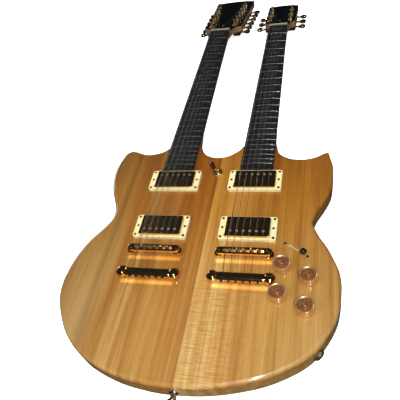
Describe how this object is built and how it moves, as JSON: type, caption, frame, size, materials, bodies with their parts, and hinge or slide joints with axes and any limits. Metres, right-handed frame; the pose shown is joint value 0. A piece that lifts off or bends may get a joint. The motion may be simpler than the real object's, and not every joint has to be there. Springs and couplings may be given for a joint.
{
  "type": "double-neck electric guitar",
  "caption": "Solid-body electric guitar with a course-strung neck beside a single-strung neck, with pickups, bridges, tailpieces, rotary knobs and selector switches.",
  "frame": {"origin": "on the flat back of the body, midway between the necks, level with the nominal end of the string scale", "axes": "+Y along the necks towards the headstocks, +Z out through the top of the body, +X towards the six-string side"},
  "size_m": [0.4171, 1.1146, 0.0906],
  "materials": {
    "body_wood": "clear gloss lacquer over honey-coloured laminated wood",
    "neck_wood": "clear satin lacquer",
    "fretboard_wood": "oiled dark hardwood with nickel-silver frets",
    "black_gloss": "polished",
    "black_matt": "fine textured",
    "string_steel": "plain and wound strings, bone-coloured nut",
    "cream_plastic": "moulded",
    "pickup_cover": "gold plated, polished",
    "gold_plate": "gold plated, polished",
    "clear_amber": "clear over gold lacquer",
    "dark_amber": "moulded",
    "grey_steel": "stamped"
  },
  "bodies": {
    "root": {"body": "body_wood", "headplate_12": "black_gloss", "tuners_12_bass": "gold_plate", "tuners_12_treble": "gold_plate", "neck_12": "neck_wood", "fretboard_12": "fretboard_wood", "strap_button_heel": "gold_plate", "nut_and_strings_12": "string_steel", "ring_12_neck": "cream_plastic", "pickup_12_neck": "pickup_cover", "ring_12_bridge": "cream_plastic", "pickup_12_bridge": "pickup_cover", "bridge_12": "gold_plate", "tailpiece_12": "gold_plate", "headplate_6": "black_gloss", "tuners_6_bass": "gold_plate", "tuners_6_treble": "gold_plate", "neck_6": "neck_wood", "fretboard_6": "fretboard_wood", "nut_and_strings_6": "string_steel", "ring_6_neck": "cream_plastic", "pickup_6_neck": "pickup_cover", "ring_6_bridge": "cream_plastic", "pickup_6_bridge": "pickup_cover", "bridge_6": "gold_plate", "tailpiece_6": "gold_plate", "pot_1_1": "grey_steel", "pot_1_2": "grey_steel", "pot_2_1": "grey_steel", "pot_2_2": "grey_steel", "blade_switch": "grey_steel", "toggle_switch": "gold_plate", "control_cover": "black_matt", "switch_cover": "black_matt", "strap_button_end": "gold_plate", "output_jack": "gold_plate"},
    "tuner_12_bass_1": {"button_12_bass_1": "gold_plate"},
    "tuner_12_bass_2": {"button_12_bass_2": "gold_plate"},
    "tuner_12_bass_3": {"button_12_bass_3": "gold_plate"},
    "tuner_12_bass_4": {"button_12_bass_4": "gold_plate"},
    "tuner_12_bass_5": {"button_12_bass_5": "gold_plate"},
    "tuner_12_bass_6": {"button_12_bass_6": "gold_plate"},
    "tuner_12_treble_1": {"button_12_treble_1": "gold_plate"},
    "tuner_12_treble_2": {"button_12_treble_2": "gold_plate"},
    "tuner_12_treble_3": {"button_12_treble_3": "gold_plate"},
    "tuner_12_treble_4": {"button_12_treble_4": "gold_plate"},
    "tuner_12_treble_5": {"button_12_treble_5": "gold_plate"},
    "tuner_12_treble_6": {"button_12_treble_6": "gold_plate"},
    "tuner_6_bass_1": {"button_6_bass_1": "gold_plate"},
    "tuner_6_bass_2": {"button_6_bass_2": "gold_plate"},
    "tuner_6_bass_3": {"button_6_bass_3": "gold_plate"},
    "tuner_6_treble_1": {"button_6_treble_1": "gold_plate"},
    "tuner_6_treble_2": {"button_6_treble_2": "gold_plate"},
    "tuner_6_treble_3": {"button_6_treble_3": "gold_plate"},
    "control_1_1": {"knob_1_1": "clear_amber"},
    "control_1_2": {"knob_1_2": "clear_amber"},
    "control_2_1": {"knob_2_1": "clear_amber"},
    "control_2_2": {"knob_2_2": "clear_amber"},
    "blade": {"blade_lever": "black_matt"},
    "toggle": {"toggle_lever": "dark_amber"}
  },
  "joints": [
    {"name": "button_12_bass_1_turn", "type": "hinge", "parent": "root", "child": "tuner_12_bass_1", "pos_m": [-0.10015, 0.69573, 0.00325], "axis": [1, 0, 0], "continuous": true},
    {"name": "button_12_bass_2_turn", "type": "hinge", "parent": "root", "child": "tuner_12_bass_2", "pos_m": [-0.10135, 0.72616, -0.00265], "axis": [1, 0, 0], "continuous": true},
    {"name": "button_12_bass_3_turn", "type": "hinge", "parent": "root", "child": "tuner_12_bass_3", "pos_m": [-0.10255, 0.7566, -0.00855], "axis": [1, 0, 0], "continuous": true},
    {"name": "button_12_bass_4_turn", "type": "hinge", "parent": "root", "child": "tuner_12_bass_4", "pos_m": [-0.10375, 0.78703, -0.01445], "axis": [1, 0, 0], "continuous": true},
    {"name": "button_12_bass_5_turn", "type": "hinge", "parent": "root", "child": "tuner_12_bass_5", "pos_m": [-0.10495, 0.81746, -0.02035], "axis": [1, 0, 0], "continuous": true},
    {"name": "button_12_bass_6_turn", "type": "hinge", "parent": "root", "child": "tuner_12_bass_6", "pos_m": [-0.10615, 0.84789, -0.02625], "axis": [1, 0, 0], "continuous": true},
    {"name": "button_12_treble_1_turn", "type": "hinge", "parent": "root", "child": "tuner_12_treble_1", "pos_m": [-0.04015, 0.69573, 0.00325], "axis": [1, 0, 0], "continuous": true},
    {"name": "button_12_treble_2_turn", "type": "hinge", "parent": "root", "child": "tuner_12_treble_2", "pos_m": [-0.03895, 0.72616, -0.00265], "axis": [1, 0, 0], "continuous": true},
    {"name": "button_12_treble_3_turn", "type": "hinge", "parent": "root", "child": "tuner_12_treble_3", "pos_m": [-0.03775, 0.7566, -0.00855], "axis": [1, 0, 0], "continuous": true},
    {"name": "button_12_treble_4_turn", "type": "hinge", "parent": "root", "child": "tuner_12_treble_4", "pos_m": [-0.03655, 0.78703, -0.01445], "axis": [1, 0, 0], "continuous": true},
    {"name": "button_12_treble_5_turn", "type": "hinge", "parent": "root", "child": "tuner_12_treble_5", "pos_m": [-0.03535, 0.81746, -0.02035], "axis": [1, 0, 0], "continuous": true},
    {"name": "button_12_treble_6_turn", "type": "hinge", "parent": "root", "child": "tuner_12_treble_6", "pos_m": [-0.03415, 0.84789, -0.02625], "axis": [1, 0, 0], "continuous": true},
    {"name": "button_6_bass_1_turn", "type": "hinge", "parent": "root", "child": "tuner_6_bass_1", "pos_m": [0.04515, 0.69966, 0.00249], "axis": [1, 0, 0], "continuous": true},
    {"name": "button_6_bass_2_turn", "type": "hinge", "parent": "root", "child": "tuner_6_bass_2", "pos_m": [0.04515, 0.73598, -0.00455], "axis": [1, 0, 0], "continuous": true},
    {"name": "button_6_bass_3_turn", "type": "hinge", "parent": "root", "child": "tuner_6_bass_3", "pos_m": [0.04515, 0.7723, -0.01159], "axis": [1, 0, 0], "continuous": true},
    {"name": "button_6_treble_1_turn", "type": "hinge", "parent": "root", "child": "tuner_6_treble_1", "pos_m": [0.09515, 0.69966, 0.00249], "axis": [1, 0, 0], "continuous": true},
    {"name": "button_6_treble_2_turn", "type": "hinge", "parent": "root", "child": "tuner_6_treble_2", "pos_m": [0.09515, 0.73598, -0.00455], "axis": [1, 0, 0], "continuous": true},
    {"name": "button_6_treble_3_turn", "type": "hinge", "parent": "root", "child": "tuner_6_treble_3", "pos_m": [0.09515, 0.7723, -0.01159], "axis": [1, 0, 0], "continuous": true},
    {"name": "knob_1_1_turn", "type": "hinge", "parent": "root", "child": "control_1_1", "pos_m": [0.1266, -0.0209, 0.034], "axis": [0, 0, 1], "range_deg": [-150, 150]},
    {"name": "knob_1_2_turn", "type": "hinge", "parent": "root", "child": "control_1_2", "pos_m": [0.1643, -0.0382, 0.034], "axis": [0, 0, 1], "range_deg": [-150, 150]},
    {"name": "knob_2_1_turn", "type": "hinge", "parent": "root", "child": "control_2_1", "pos_m": [0.1237, -0.0678, 0.034], "axis": [0, 0, 1], "range_deg": [-150, 150]},
    {"name": "knob_2_2_turn", "type": "hinge", "parent": "root", "child": "control_2_2", "pos_m": [0.1614, -0.0851, 0.034], "axis": [0, 0, 1], "range_deg": [-150, 150]},
    {"name": "blade_tilt", "type": "hinge", "parent": "root", "child": "blade", "pos_m": [0.1449, 0.0095, 0.012], "axis": [0.5505, 0.8348, 0], "range_deg": [-47.2, 0]},
    {"name": "toggle_tilt", "type": "hinge", "parent": "root", "child": "toggle", "pos_m": [0.0027, 0.1669, 0.035], "axis": [0, 1, 0], "range_deg": [0, 38]}
  ]
}
